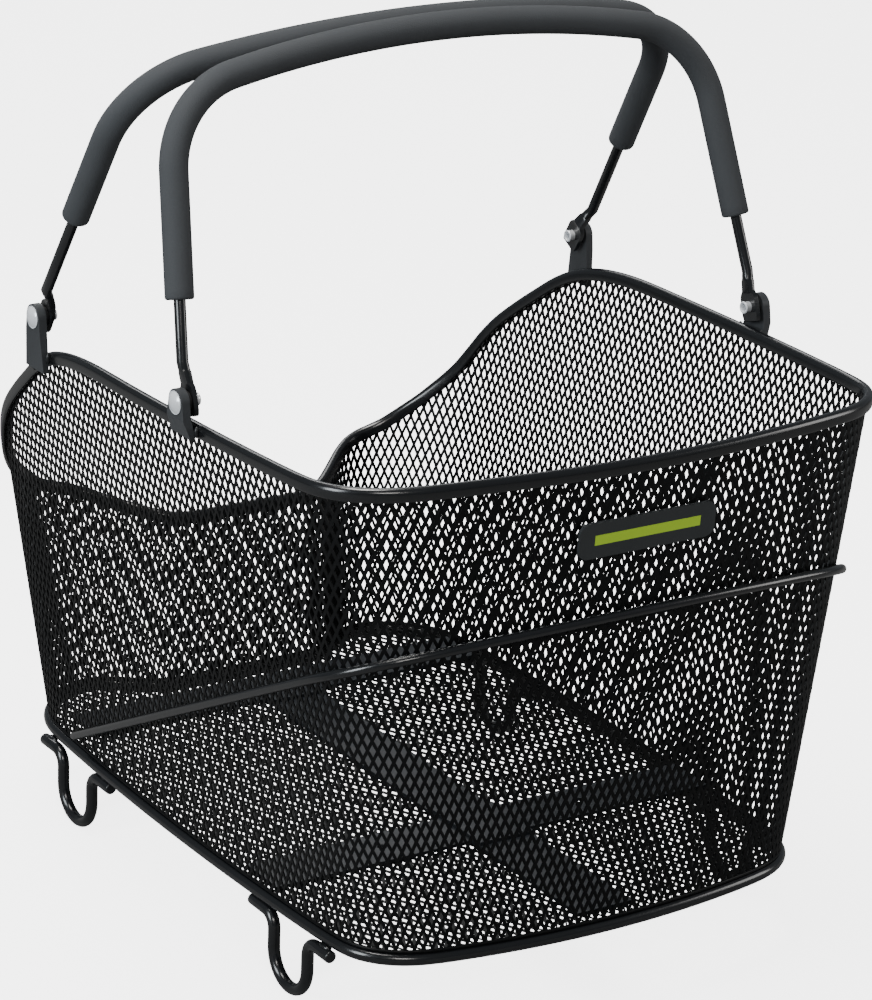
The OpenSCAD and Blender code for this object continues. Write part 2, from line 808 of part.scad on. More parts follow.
wall_lean = atan2(top_front + top_front_bow - floor_front - floor_front_bow, top_z - frame_r);
badge_wall = wall_point(0, badge_z);

module badge_plate(w, h, r, t) {
  linear_extrude(t)
    difference() {
      square([w, h], center = true);
      for (sx = [-1, 1]) for (sy = [-1, 1])
        translate([sx * (w / 2 - r), sy * (h / 2 - r)])
          difference() {
            translate([sx > 0 ? 0 : -r - 1, sy > 0 ? 0 : -r - 1]) square(r + 1);
            circle(r = r, $fn = 48);
          }
    }
}

module at_badge(off) {
  translate([badge_x, badge_wall[1], badge_z])
    rotate([90 + wall_lean, 0, 0])
      translate([0, 0, off]) children();
}

module badge() {
  color("DimGray")
    at_badge(sheet_t / 2 + 0.3) {
      badge_plate(badge_w, badge_h, badge_r, badge_t);
    }
}

module badge_clip() {
  color("Black")
    at_badge(-sheet_t / 2 - 0.3 - 3.2) badge_plate(badge_w - 10, badge_h - 6, 2, 1.5);
}

// ---------- nodes ----------

// Moves a node from the floor measurements to the frame of the finished part.
module in_frame() {
  translate([0, -(strap_front_y + strap_rear_y) / 2, -strap_z]) children();
}

in_frame() top_rim();
in_frame() floor_frame();
in_frame() guard_wire();
in_frame() mesh_front();
in_frame() mesh_left();
in_frame() mesh_right();
in_frame() mesh_rear();
in_frame() mesh_floor();
in_frame() strap_front();
in_frame() strap_rear();
in_frame() strap_centre();
in_frame() foot_front_left();
in_frame() foot_front_right();
in_frame() foot_rear_left();
in_frame() foot_rear_right();
in_frame() bracket_front_left();
in_frame() bracket_front_right();
in_frame() bracket_rear_left();
in_frame() bracket_rear_right();
in_frame() rivet_front_left();
in_frame() rivet_front_right();
in_frame() rivet_rear_left();
in_frame() rivet_rear_right();
in_frame() spacer_front_left();
in_frame() spacer_front_right();
in_frame() spacer_rear_left();
in_frame() spacer_rear_right();
in_frame() handle_front();
in_frame() handle_rear();
in_frame() grip_front();
in_frame() grip_rear();
in_frame() badge();
in_frame() badge_clip();
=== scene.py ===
import math

import bpy
import numpy as np
from mathutils import Matrix, Vector


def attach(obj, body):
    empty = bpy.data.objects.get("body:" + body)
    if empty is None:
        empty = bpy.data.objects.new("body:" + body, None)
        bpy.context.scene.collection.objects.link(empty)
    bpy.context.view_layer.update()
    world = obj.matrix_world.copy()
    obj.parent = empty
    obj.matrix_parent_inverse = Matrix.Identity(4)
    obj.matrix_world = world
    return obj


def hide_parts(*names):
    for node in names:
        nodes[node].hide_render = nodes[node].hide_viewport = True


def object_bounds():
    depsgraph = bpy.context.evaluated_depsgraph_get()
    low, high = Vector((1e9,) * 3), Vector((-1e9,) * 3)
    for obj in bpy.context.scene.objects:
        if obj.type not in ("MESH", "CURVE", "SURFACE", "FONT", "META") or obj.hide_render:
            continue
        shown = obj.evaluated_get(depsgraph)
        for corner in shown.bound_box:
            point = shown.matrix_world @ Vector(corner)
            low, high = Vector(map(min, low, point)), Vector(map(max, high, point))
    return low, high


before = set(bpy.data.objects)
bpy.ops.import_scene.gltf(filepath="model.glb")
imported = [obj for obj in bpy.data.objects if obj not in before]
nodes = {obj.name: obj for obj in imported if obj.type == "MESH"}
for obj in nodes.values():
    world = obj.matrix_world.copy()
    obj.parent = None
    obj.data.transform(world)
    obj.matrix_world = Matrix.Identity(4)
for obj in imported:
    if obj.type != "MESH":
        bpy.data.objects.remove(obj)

cad_low, cad_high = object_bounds()

# Lengths are in millimetres, and heights start at the lowest side of the floor wire, until a mesh
# is made. ORIGIN is the place of the CAD frame's origin in these numbers.
ORIGIN = np.array([0.0, 24.0, 8.36])
MM = 0.001


# ---------- outlines of the basket ----------

# Points on each stretch of the right half: front edge, front corner, side, rear corner,
# slant into the recess, and recess.
SECTIONS = [9, 9, 18, 12, 5, 5]
STATIONS = [(s, i / SECTIONS[s]) for s in range(6) for i in range(SECTIONS[s])] + [(5, 1.0)]
LAST = len(STATIONS) - 1
LOOP = 2 * LAST
# Stations where the side of the basket begins and ends.
SIDE_START = sum(SECTIONS[:2])
SIDE_END = sum(SECTIONS[:3])
FRAME_R = 3.4
TOP_Z = 229.0
SHEET_LOW = 6.83
RIM_W, RIM_H = 5.8, 6.8

# half is half the width, ri and rd the half width and depth of the recess in the rear edge.
FLOOR = dict(half=133.5, bow=5, front=191.5, front_bow=10, rear=192, rf=36, rr=50, ri=51.5, rd=23)
TOP = dict(half=160.4, bow=5.3, front=202.8, front_bow=13, rear=225.9, rf=43, rr=66, ri=38, rd=55.5)


def unit(v):
    return v / np.linalg.norm(v)


# Handle length, as a share of the radius, that makes a Bezier curve follow a quarter circle.
QUARTER_ARC = 0.5523


def bezier(a, b, c, d, t):
    return a * (1 - t) ** 3 + 3 * b * t * (1 - t) ** 2 + 3 * c * t * t * (1 - t) + d * t**3


def outline_point(o, s, t):
    """One point of the right half of an outline."""
    front_half = o["half"] - o["rf"]
    side_half = (o["rear"] - o["rr"] + o["front"] - o["rf"]) / 2
    p1 = np.array([front_half, -o["front"]])
    p2 = np.array([o["half"], o["rf"] - o["front"]])
    p3 = np.array([o["half"], o["rear"] - o["rr"]])
    p4 = np.array([o["half"] - o["rr"], o["rear"]])
    p5 = np.array([o["ri"], o["rear"] - o["rd"]])
    k = QUARTER_ARC
    if s == 0:
        return np.array([front_half * t, -o["front"] - o["front_bow"] * (1 - t * t)])
    if s == 1:
        leave = unit(np.array([1, 2 * o["front_bow"] / front_half]))
        arrive = unit(np.array([2 * o["bow"] / side_half, 1]))
        return bezier(p1, p1 + k * o["rf"] * leave, p2 - k * o["rf"] * arrive, p2, t)
    if s == 2:
        return np.array([o["half"] + o["bow"] * (1 - (2 * t - 1) ** 2), p2[1] + (p3[1] - p2[1]) * t])
    if s == 3:
        leave = unit(np.array([-2 * o["bow"] / side_half, 1]))
        return bezier(p3, p3 + k * o["rr"] * leave, p4 + np.array([k * o["rr"], 0]), p4, t)
    if s == 4:
        return p4 + (p5 - p4) * t
    return p5 + (np.array([0, p5[1]]) - p5) * t


def evened(half, passes, mirror=(-1, 1, 1)):
    """Averages each point with its neighbours."""
    for _ in range(passes):
        before = np.vstack([half[1] * mirror, half[:-1]])
        after = np.vstack([half[1:], half[-2] * mirror])
        half = (before + 2 * half + after) / 4
    return half


def half_outline(o, z):
    return evened(np.array([[*outline_point(o, s, t), z] for s, t in STATIONS]), 2)


# Rim height at the front, at the front brackets, at the rear brackets, at the rear wall and in
# the recess. The curve pairs a stretch number and share with a height.
RIM_FRONT, RIM_SIDE, RIM_DROP, RIM_REAR, RIM_RECESS = 256.5, 250.6, 239.0, 116.6, 104.0
RIM_START, RIM_FALL = RIM_SIDE - RIM_DROP, RIM_DROP - RIM_REAR
RIM_CURVE = [
    (0, RIM_FRONT), (0.7, RIM_FRONT), (1.5, RIM_FRONT - 1.7), (2, (RIM_FRONT + RIM_SIDE) / 2),
    (2.5, RIM_SIDE), (2.64, RIM_SIDE - RIM_START * 0.05), (2.71, RIM_SIDE - RIM_START * 0.3),
    (2.81, RIM_DROP), (2.89, RIM_DROP - RIM_FALL * 0.16), (3, RIM_DROP - RIM_FALL * 0.35),
    (3.25, RIM_DROP - RIM_FALL * 0.63), (3.5, RIM_DROP - RIM_FALL * 0.81),
    (3.75, RIM_DROP - RIM_FALL * 0.94), (4, RIM_REAR), (4.5, RIM_REAR + (RIM_RECESS - RIM_REAR) * 0.6),
    (5, RIM_RECESS), (6, RIM_RECESS),
]
floor_half = half_outline(FLOOR, FRAME_R)
top_half = half_outline(TOP, TOP_Z)
rim_height = np.interp([s + t for s, t in STATIONS], *zip(*RIM_CURVE))
rim_height = evened(np.stack([rim_height] * 3, 1), 1, (1, 1, 1))[:, 2]


def full(half):
    """The closed loop, counter-clockwise from above."""
    return np.vstack([half, half[-2:0:-1] * np.array([-1, 1, 1])])


def spline(points, steps, closed=True):
    """Catmull-Rom curve through points, steps pieces for each gap."""
    p = np.asarray(points, float)
    n = len(p)
    out = []
    for i in range(n if closed else n - 1):
        if closed:
            a, b, c, d = p[i - 1], p[i], p[(i + 1) % n], p[(i + 2) % n]
        else:
            a, b, c, d = p[max(i - 1, 0)], p[i], p[i + 1], p[min(i + 2, n - 1)]
        for k in range(steps):
            t = k / steps
            out.append(0.5 * (2 * b + (c - a) * t + (2 * a - 5 * b + 4 * c - d) * t * t
                              + (3 * b - a - 3 * c + d) * t**3))
    if not closed:
        out.append(p[-1])
    return np.array(out)


FINE = 8
floor_loop = spline(full(floor_half), FINE)
top_loop = spline(full(top_half), FINE)
share = ((rim_height - FRAME_R) / (TOP_Z - FRAME_R))[:, None]
rim_loop = spline(full(floor_half + (top_half - floor_half) * share), FINE)


def units(v):
    return v / np.linalg.norm(v, axis=-1, keepdims=True)


def tangents(loop):
    """Directions along a closed loop."""
    return units(np.roll(loop, -1, 0) - np.roll(loop, 1, 0))


def directions(path):
    """Unit directions along an open path."""
    return units(np.vstack([path[1] - path[0], path[2:] - path[:-2], path[-1] - path[-2]]))


upwall = units(top_loop - floor_loop)
rim_along = tangents(rim_loop)
outward = units(np.cross(rim_along, upwall))
across = units(np.cross(outward, rim_along))
wall_along = tangents((floor_loop + top_loop) / 2)
wall_out = units(np.cross(wall_along, upwall))
COUNT = len(floor_loop)


def sample(loop, q):
    """Values of a closed loop at station positions q, in original stations."""
    f = np.mod(np.asarray(q, float) * FINE, COUNT)
    i = np.floor(f).astype(int) % COUNT
    w = (f - np.floor(f))[..., None]
    return loop[i] * (1 - w) + loop[(i + 1) % COUNT] * w


def wall_at(q, z, out):
    """Point of the wall at station q and height z, moved outwards by out."""
    low, high = sample(floor_loop, q), sample(top_loop, q)
    share = ((z - FRAME_R) / (TOP_Z - FRAME_R))[..., None]
    return low + (high - low) * share + out[..., None] * units(sample(wall_out, q))


# ---------- mesh helpers ----------

def add_mesh(name, verts, faces, material, smooth=60.0, replaces=(), body="basket"):
    """Makes a visible piece that rides on a body and stands for CAD nodes."""
    mesh = bpy.data.meshes.new(name)
    mesh.from_pydata(((np.asarray(verts) - ORIGIN) * MM).tolist(), [], faces)
    mesh.update()
    mesh.polygons.foreach_set("use_smooth", [True] * len(mesh.polygons))
    if smooth:
        mesh.set_sharp_from_angle(angle=math.radians(smooth))
    obj = bpy.data.objects.new(name, mesh)
    bpy.context.scene.collection.objects.link(obj)
    mesh.materials.append(material)
    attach(obj, body)
    if replaces:
        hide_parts(*replaces)
    return obj


def ring_faces(rows, m, closed):
    """Quads between rings of m points; the last ring joins the first when closed."""
    faces = []
    for i in range(rows if closed else rows - 1):
        k = (i + 1) % rows
        for j in range(m):
            faces.append((i * m + j, i * m + (j + 1) % m, k * m + (j + 1) % m, k * m + j))
    return faces


def joined(parts):
    """One vertex list and face list from several."""
    verts, faces, base = [], [], 0
    for v, f in parts:
        verts.append(np.asarray(v, float).reshape(-1, 3))
        faces += [tuple(base + i for i in face) for face in f]
        base += len(verts[-1])
    return np.vstack(verts), faces


def sweep(path, radius, sides=18, closed=False, edge=0.5, start_up=None):
    """A round wire along path. Open ends are flat with a small rounded edge."""
    p = np.asarray(path, float)
    n = len(p)
    d = tangents(p) if closed else directions(p)
    up = np.asarray(start_up if start_up is not None else (0, 0, 1), float)
    if abs(up @ d[0]) > 0.95:
        up = np.array([0.0, 1.0, 0.0])
    frames = []
    for i in range(n):
        up = up - (up @ d[i]) * d[i]
        up = up / np.linalg.norm(up)
        frames.append((np.cross(d[i], up), up))
    radius = np.full(n, radius, float) if np.isscalar(radius) else np.asarray(radius, float)
    centres, radii, axes = list(p), list(radius), list(frames)
    if not closed:
        for end, sign in ((0, -1), (n - 1, 1)):
            for a in (30, 60, 90):
                place = 0 if end == 0 else len(centres)
                centres.insert(place, p[end] + sign * d[end] * edge * math.sin(math.radians(a)))
                radii.insert(place, radius[end] - edge + edge * math.cos(math.radians(a)))
                axes.insert(place, frames[end])
    t = np.arange(sides) * 2 * math.pi / sides
    rings = [c + r * (np.cos(t)[:, None] * a[0] + np.sin(t)[:, None] * a[1])
             for c, r, a in zip(centres, radii, axes)]
    verts = np.vstack(rings)
    m = len(rings)
    faces = [f[::-1] for f in ring_faces(m, sides, closed)]
    if not closed:
        faces.append(tuple(range(sides)))
        faces.append(tuple((m - 1) * sides + j for j in reversed(range(sides))))
    return verts, faces


def blob(centre, axes, seed, sides=14, rows=9, rough=0.08):
    """A weld bead: a lumpy, flattened drop about centre, with three half axes."""
    rng = np.random.default_rng(seed)
    bumps = rng.normal(0, 1, (4, 3))
    verts = []
    for i in range(rows + 1):
        th = math.pi * i / rows
        for j in range(sides):
            ph = 2 * math.pi * j / sides
            n = np.array([math.sin(th) * math.cos(ph), math.sin(th) * math.sin(ph), math.cos(th)])
            r = 1 + rough * sum(math.sin(3 * (b @ n) + k) for k, b in enumerate(bumps)) / 2
            verts.append(np.asarray(centre) + r * (n[0] * axes[0] + n[1] * axes[1] + n[2] * axes[2]))
    return np.array(verts), ring_faces(rows + 1, sides, False)


# ---------- materials ----------

def node_material(name, colour, rough, bump=0.1, bump_scale=900.0, wear=0.0, wear_colour=(0.3, 0.31, 0.33),
                  metallic=0.0, coat=0.0, tint=0.15, spec=0.5):
    """A procedural finish: mottled colour and roughness, fine bump and worn edges."""
    mat = bpy.data.materials.new(name)
    mat.use_nodes = True
    t = mat.node_tree
    t.nodes.clear()
    new, link = t.nodes.new, t.links.new
    out = new("ShaderNodeOutputMaterial")
    bsdf = new("ShaderNodeBsdfPrincipled")
    link(bsdf.outputs["BSDF"], out.inputs["Surface"])
    bsdf.inputs["Metallic"].default_value = metallic
    bsdf.inputs["Coat Weight"].default_value = coat
    bsdf.inputs["Coat Roughness"].default_value = 0.25
    bsdf.inputs["Specular IOR Level"].default_value = spec
    coord = new("ShaderNodeTexCoord")
    coarse = new("ShaderNodeTexNoise")
    coarse.inputs["Scale"].default_value = 45.0
    coarse.inputs["Detail"].default_value = 4.0
    link(coord.outputs["Object"], coarse.inputs["Vector"])
    ramp = new("ShaderNodeMapRange")
    ramp.inputs["From Min"].default_value = 0.3
    ramp.inputs["From Max"].default_value = 0.7
    ramp.inputs["To Min"].default_value = rough * 0.85
    ramp.inputs["To Max"].default_value = min(1.0, rough * 1.15)
    link(coarse.outputs["Fac"], ramp.inputs["Value"])
    link(ramp.outputs["Result"], bsdf.inputs["Roughness"])
    mix = new("ShaderNodeMix")
    mix.data_type = "RGBA"
    mix.inputs["A"].default_value = (*[c * (1 - tint) for c in colour], 1)
    mix.inputs["B"].default_value = (*[min(1, c * (1 + tint)) for c in colour], 1)
    link(coarse.outputs["Fac"], mix.inputs["Factor"])
    last = mix.outputs["Result"]
    if wear:
        geo = new("ShaderNodeNewGeometry")
        edge = new("ShaderNodeMapRange")
        edge.inputs["From Min"].default_value = 0.53
        edge.inputs["From Max"].default_value = 0.62
        edge.inputs["To Max"].default_value = wear
        link(geo.outputs["Pointiness"], edge.inputs["Value"])
        worn = new("ShaderNodeMix")
        worn.data_type = "RGBA"
        worn.inputs["B"].default_value = (*wear_colour, 1)
        link(edge.outputs["Result"], worn.inputs["Factor"])
        link(last, worn.inputs["A"])
        last = worn.outputs["Result"]
    link(last, bsdf.inputs["Base Color"])
    fine = new("ShaderNodeTexNoise")
    fine.inputs["Scale"].default_value = bump_scale
    fine.inputs["Detail"].default_value = 3.0
    link(coord.outputs["Object"], fine.inputs["Vector"])
    bump_node = new("ShaderNodeBump")
    bump_node.inputs["Strength"].default_value = bump
    bump_node.inputs["Distance"].default_value = 0.0003
    link(fine.outputs["Fac"], bump_node.inputs["Height"])
    link(bump_node.outputs["Normal"], bsdf.inputs["Normal"])
    return mat


paint = node_material("frame_paint", (0.0055, 0.0062, 0.0072), 0.20, bump=0.06, wear=0.03, coat=0.5)
mesh_paint = node_material("mesh_paint", (0.003, 0.0033, 0.0036), 0.45, bump=0.08, bump_scale=700.0, spec=0.2)
strap_paint = node_material("strap_paint", (0.02, 0.023, 0.027), 0.38, bump=0.15)
weld_paint = node_material("weld_paint", (0.010, 0.011, 0.012), 0.36, bump=0.5, bump_scale=500.0)
rod_paint = node_material("rod_paint", (0.007, 0.0078, 0.009), 0.20, bump=0.07, wear=0.06, coat=0.5)
bracket_paint = node_material("bracket_paint", (0.026, 0.0285, 0.031), 0.42, bump=0.2, wear=0.06, spec=0.4)
foam = node_material("grip_foam", (0.058, 0.062, 0.067), 0.82, bump=0.55, bump_scale=1500.0, tint=0.2,
                     spec=0.35)
zinc = node_material("rivet_steel", (0.88, 0.90, 0.93), 0.22, bump=0.04, bump_scale=600.0, metallic=0.2,
                     wear=0.2, wear_colour=(0.9, 0.91, 0.93), tint=0.05)
plastic = node_material("black_plastic", (0.008, 0.008, 0.009), 0.55, bump=0.15)
badge_paint = node_material("badge_plate", (0.03, 0.034, 0.036), 0.45, bump=0.15, tint=0.1)


def stripe_on(mat, half_w, half_h, z0, x0, colour):
    """Paints a plain bar on a material, placed in metres in the CAD frame."""
    t = mat.node_tree
    new, link = t.nodes.new, t.links.new
    bsdf = next(n for n in t.nodes if n.type == "BSDF_PRINCIPLED")
    source = bsdf.inputs["Base Color"].links[0].from_socket
    coord = new("ShaderNodeTexCoord")
    sep = new("ShaderNodeSeparateXYZ")
    link(coord.outputs["Object"], sep.inputs["Vector"])
    masks = []
    for axis, centre, half in (("X", x0, half_w), ("Z", z0, half_h)):
        off = new("ShaderNodeMath")
        off.operation = "SUBTRACT"
        off.inputs[1].default_value = centre
        link(sep.outputs[axis], off.inputs[0])
        size = new("ShaderNodeMath")
        size.operation = "ABSOLUTE"
        link(off.outputs[0], size.inputs[0])
        less = new("ShaderNodeMath")
        less.operation = "LESS_THAN"
        less.inputs[1].default_value = half
        link(size.outputs[0], less.inputs[0])
        masks.append(less.outputs[0])
    both = new("ShaderNodeMath")
    both.operation = "MULTIPLY"
    link(masks[0], both.inputs[0])
    link(masks[1], both.inputs[1])
    mix = new("ShaderNodeMix")
    mix.data_type = "RGBA"
    mix.inputs["B"].default_value = (*colour, 1)
    link(both.outputs[0], mix.inputs["Factor"])
    link(source, mix.inputs["A"])
    link(mix.outputs["Result"], bsdf.inputs["Base Color"])


# ---------- rim, floor frame, guard wire ----------

RIM_PROFILE = spline([
    (0.95, -3.4), (1.9, -3.45), (2.75, -3.1), (2.95, -2.0), (2.9, -0.4), (2.75, 1.1), (2.2, 2.4),
    (1.1, 3.3), (0.0, 3.42), (-1.1, 3.3), (-2.2, 2.4), (-2.75, 1.1), (-2.9, -0.4), (-2.95, -2.0),
    (-2.75, -3.1), (-1.9, -3.45), (-0.95, -3.4), (-0.95, -1.6), (0.95, -1.6),
], 2)
rim_verts = (rim_loop[:, None] + RIM_PROFILE[None, :, :1] * outward[:, None]
             + RIM_PROFILE[None, :, 1:] * across[:, None])
add_mesh("rim_band", rim_verts.reshape(-1, 3),
         ring_faces(COUNT, len(RIM_PROFILE), True), paint, smooth=40, replaces=("top_rim",))

v, f = sweep(floor_loop, FRAME_R, 20, closed=True)
add_mesh("floor_frame_wire", v, f, paint, replaces=("floor_frame",))

# The guard wire lies in a tilted plane: its height at mid length and its slope.
GUARD_R = 2.5
GUARD_MID, GUARD_SLOPE = 71.0, 0.51
# Where the wire ends along the sides, and how far its middle stands off the wall.
GUARD_END = 110.0
GUARD_OFF = 0.75 + GUARD_R + 0.25


def guard_path():
    """Middle line from the left end round the front to the right end."""
    rise = TOP_Z - FRAME_R
    lean = (top_loop[:, 1] - floor_loop[:, 1]) / rise
    y0 = floor_loop[:, 1] - FRAME_R * lean
    z = (GUARD_MID - GUARD_SLOPE * y0) / (1 + GUARD_SLOPE * lean)
    p = floor_loop + (top_loop - floor_loop) * ((z - FRAME_R) / rise)[:, None]
    p = p + GUARD_OFF * outward
    right = [i for i in range(COUNT // 2) if p[i][1] < GUARD_END and i < SIDE_END * FINE]
    k = max(right)
    order = [i % COUNT for i in range(-k, k + 1)]
    return p[order]


guard_line = guard_path()
v, f = sweep(guard_line, GUARD_R, 18, edge=0.9)
add_mesh("guard_wire_loop", v, f, paint, replaces=("guard_wire",))


# ---------- foot loops ----------

FOOT_R, FOOT_GAP, FOOT_DEPTH, FOOT_LEN, FOOT_ELBOW = 3.25, 33.0, 40.0, 76.0, 8.0
FOOT_X = FLOOR["half"] + FLOOR["bow"] * 0.72
FOOT_Y = {"front": -117.0, "rear": 112.0}
# Weld beads on a foot: distance from its middle, distance inwards, height and half axes.
FOOT_BEAD_Y, FOOT_BEAD_IN, FOOT_BEAD_Z = 31, 1.2, -0.3
FOOT_BEAD_AXES = np.diag([2.4, 4.5, 1.3])


def arc(cy, cz, r, a0, a1, steps):
    a = np.radians(np.linspace(a0, a1, steps))
    return [(cy + r * math.cos(t), cz + r * math.sin(t)) for t in a]


def foot_path():
    """Points (Y, Z) of a foot: a straight end, an elbow, the hanging loop and the mirror of these."""
    loop_r = FOOT_GAP / 2
    tail_z = -FOOT_R - 0.03
    low_z = -FOOT_DEPTH + FOOT_R + loop_r
    knee = tail_z - FOOT_ELBOW
    half = FOOT_LEN / 2
    pts = [(-half, tail_z), (-half * 0.8, tail_z)]
    pts += arc(-loop_r - FOOT_ELBOW, knee, FOOT_ELBOW, 90, 0, 9)
    pts += arc(0, low_z, loop_r, 180, 360, 25)
    pts += arc(loop_r + FOOT_ELBOW, knee, FOOT_ELBOW, 180, 90, 9)
    pts += [(half * 0.8, tail_z), (half, tail_z)]
    return np.array(pts)


for side, sx in (("left", -1), ("right", 1)):
    for place, y in FOOT_Y.items():
        yz = foot_path()
        path = np.column_stack([np.full(len(yz), sx * FOOT_X), yz[:, 0] + y, yz[:, 1]])
        parts = [sweep(path, FOOT_R, 18, edge=0.8, start_up=(1, 0, 0))]
        for k, off in enumerate((-FOOT_BEAD_Y, FOOT_BEAD_Y)):
            centre = (sx * (FOOT_X - FOOT_BEAD_IN), y + off, FOOT_BEAD_Z)
            parts.append(blob(centre, FOOT_BEAD_AXES, 11 + k))
        v, f = joined(parts)
        add_mesh(f"foot_loop_{place}_{side}", v, f, paint, replaces=(f"foot_{place}_{side}",))


# ---------- expanded mesh ----------

# Height and width of a diamond, width and thickness of a strand, and how far strands tip out of
# the sheet.
PITCH_UP = 11.2
PITCH_ALONG = 5.5
STRAND_W = 1.72
SHEET = 0.7
RELIEF = -0.12
# Size of the grid on which corners of neighbouring cells are taken for the same point.
WELD_GRID = 0.01


def cell_rings(a, b, strand):
    """Outer ring and hole ring of one diamond cell, each of 8 points, and how far each tips."""
    p, q = a / 2, b / 2
    inset = strand / 2 / (p * q / math.hypot(p, q))
    px, qy = p * (1 - inset), q * (1 - inset)
    ring = np.array([(1, 0), (0.5, 0.5), (0, 1), (-0.5, 0.5), (-1, 0), (-0.5, -0.5), (0, -1), (0.5, -0.5)])
    tilt = np.array([1, 0.7, 0, -0.7, -1, -0.7, 0, 0.7])
    return ring * (p, q), ring * (px, qy), tilt


def lattice(centres, place, beyond, a, b):
    """Diamond mesh from cell centres in lattice units. place(points, offset) gives 3D points.
    beyond(points) numbers the cut edge that a point lies past, or 0."""
    outer, inner, tilt = cell_rings(a, b, STRAND_W)
    n = len(centres)
    ring_o = centres[:, None] + outer[None] / (a, b)
    ring_i = centres[:, None] + inner[None] / (a, b)
    flat = np.zeros((n, 8))
    lift = np.broadcast_to(tilt * RELIEF, (n, 8))
    layers = [
        place(ring_o, flat + SHEET / 2), place(ring_i, lift + SHEET / 2),
        place(ring_o, flat - SHEET / 2), place(ring_i, lift - SHEET / 2),
    ]
    verts = np.stack(layers, 1).reshape(-1, 3)
    cut = np.stack([beyond(ring_o), beyond(ring_i)] * 2, 1).reshape(-1)
    k = np.arange(8)
    k2 = (k + 1) % 8
    quads = np.concatenate([
        np.stack([k, k2, 8 + k2, 8 + k], 1),
        np.stack([16 + k2, 16 + k, 24 + k, 24 + k2], 1),
        np.stack([8 + k, 8 + k2, 24 + k2, 24 + k], 1),
    ])
    faces = (np.arange(n)[:, None, None] * 32 + quads[None]).reshape(-1, 4)
    side = cut[faces]
    dead = (side[:, 0] != 0) & (side == side[:, :1]).all(1)
    return verts, faces[~dead]


def from_lowest(face):
    """The same face, named from its lowest corner number on."""
    i = face.index(min(face))
    return face[i:] + face[:i]


def add_lattice(name, verts, faces, replaces):
    """Welds shared corners, drops collapsed and doubled faces and adds the mesh."""
    keys = np.round(verts / WELD_GRID).astype(np.int64)
    _, first, back = np.unique(keys, axis=0, return_index=True, return_inverse=True)
    back = back.reshape(-1)
    faces = back[faces]
    kept = []
    for q in faces.tolist():
        clean = [x for i, x in enumerate(q) if x != q[i - 1]]
        if len(clean) >= 3 and len(set(clean)) == len(clean):
            kept.append(tuple(clean))
    # A repeated face stays once, and two faces back to back on the same corners both go.
    once = dict.fromkeys(from_lowest(q) for q in kept)
    kept = [q for q in once if from_lowest(q[::-1]) not in once]
    used, corners = np.unique(np.concatenate(kept), return_inverse=True)
    ends = np.cumsum([len(q) for q in kept])[:-1]
    kept = [tuple(q.tolist()) for q in np.split(corners.reshape(-1), ends)]
    return add_mesh(name, verts[first][used], kept, mesh_paint, smooth=38, replaces=replaces)


# Width of a diamond at stations round the wall: it is widest in the middle of the front. From it
# comes the number of columns between the middle of the front and each point of the loop.
pitch_curve = [(0, 5.95), (6, 5.55), (10, 5.3), (SIDE_START, 5.35), (SIDE_END, 5.2), (LAST, 5.6)]
q_fine = np.arange(0, COUNT + 1) / FINE
mid = floor_loop + (top_loop - floor_loop) * 0.85
steps = np.linalg.norm(np.roll(mid, -1, 0) - mid, axis=1)
q_mid = (q_fine[:-1] + q_fine[1:]) / 2
q_half = np.where(q_mid > LAST, LOOP - q_mid, q_mid)
columns = np.concatenate([[0], np.cumsum(steps / np.interp(q_half, *zip(*pitch_curve)))])
columns *= round(columns[-1]) / columns[-1]
# Height of a row over height of a diamond, because the wall leans.
ROWS_SIN = 0.985
# The sheet's edges: above the floor sheet, and inside the fold of the rim.
PANEL_LOW = SHEET_LOW + 0.3
FOLD_IN = 1.5
# Cells whose middle lies further than this past an edge are left out.
CELL_REACH = PITCH_UP / 2 + 6


def wall_panel(name, q0, q1, replaces):
    """One wall panel between stations q0 and q1 (q0 may be negative)."""
    def col(q):
        turns = math.floor(q / LOOP)
        return turns * columns[-1] + float(np.interp(q - turns * LOOP, q_fine, columns))

    c0, c1 = col(q0), col(q1)
    cells = []
    for i in range(math.floor(c0 * 2) - 1, math.ceil(c1 * 2) + 2):
        for j in range(-1, int(2 * (RIM_FRONT + CELL_REACH) / PITCH_UP) + 2):
            if (i + j) % 2 == 0:
                cells.append((i / 2, j / 2))
    cells = np.array(cells)

    def to_q(c):
        turns = np.floor(c / columns[-1])
        return turns * LOOP + np.interp(c - turns * columns[-1], columns, q_fine)

    def limits(q):
        high = sample(rim_loop - FOLD_IN * across, q)[..., 2]
        return PANEL_LOW, high

    def place(pts, out):
        c = np.clip(pts[..., 0], c0, c1)
        q = to_q(c)
        low, high = limits(q)
        z = np.clip(FRAME_R + pts[..., 1] * PITCH_UP * ROWS_SIN, low, high)
        return wall_at(q, z, out)

    def beyond(pts):
        q = to_q(np.clip(pts[..., 0], c0, c1))
        low, high = limits(q)
        z = FRAME_R + pts[..., 1] * PITCH_UP * ROWS_SIN
        edge = np.where(z <= low, 3, np.where(z >= high, 4, 0))
        return np.where(pts[..., 0] <= c0 + 1e-6, 1, np.where(pts[..., 0] >= c1 - 1e-6, 2, edge))

    qc = to_q(np.clip(cells[:, 0], c0, c1))
    low, high = limits(qc)
    zc = FRAME_R + cells[:, 1] * PITCH_UP * ROWS_SIN
    keep = (zc > low - CELL_REACH) & (zc < high + CELL_REACH)
    keep &= (cells[:, 0] > c0 - 0.5) & (cells[:, 0] < c1 + 0.5)
    verts, faces = lattice(cells[keep], place, beyond, PITCH_ALONG, PITCH_UP)
    return add_lattice(name, verts, faces, replaces)


